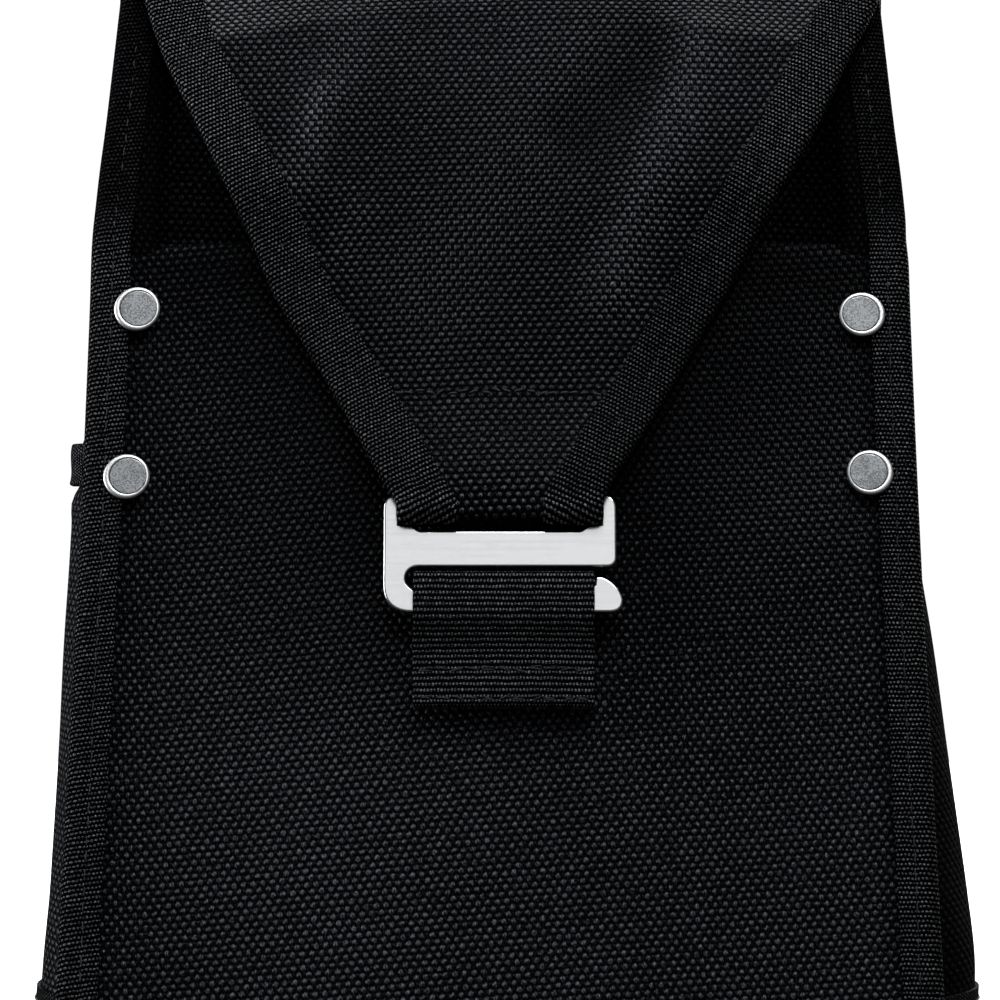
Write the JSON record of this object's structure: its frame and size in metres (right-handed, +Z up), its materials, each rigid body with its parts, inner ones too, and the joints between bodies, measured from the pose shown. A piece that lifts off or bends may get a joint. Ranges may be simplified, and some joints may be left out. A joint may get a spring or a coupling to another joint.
{
  "type": "tool pouch",
  "caption": "Tool pouch of heavy black woven nylon: leaning front, swollen side gussets and a tapering bound flap closed by a flat steel hook in a webbing loop.",
  "frame": {"origin": "middle of the base on the ground: half way across the front and half way from the front's foot to the back", "axes": "+X to the viewer's right from the front, +Y from the front to the back panel and belt loop, +Z up to the crest of the flap"},
  "size_m": [0.2026, 0.0995, 0.2283],
  "materials": {
    "cloth": "coarse plain weave, dull",
    "tape": "fine ribbed tape",
    "webbing": "ribbed webbing",
    "hook_steel": "bright satin",
    "rivet_metal": "grained face, bright rim"
  },
  "bodies": {
    "root": {"front_panel": "cloth", "back_panel": "cloth", "gusset_left": "cloth", "gusset_right": "cloth", "bottom_panel": "cloth", "flap": "cloth", "front_binding_left": "tape", "front_binding_right": "tape", "base_binding": "tape", "flap_binding_left": "tape", "flap_binding_right": "tape", "keeper_loop": "webbing", "side_strap": "webbing", "belt_loop": "webbing", "g_hook": "hook_steel", "rivet_upper_left": "rivet_metal", "rivet_upper_right": "rivet_metal", "rivet_lower_left": "rivet_metal", "rivet_lower_right": "rivet_metal"}
  },
  "joints": []
}
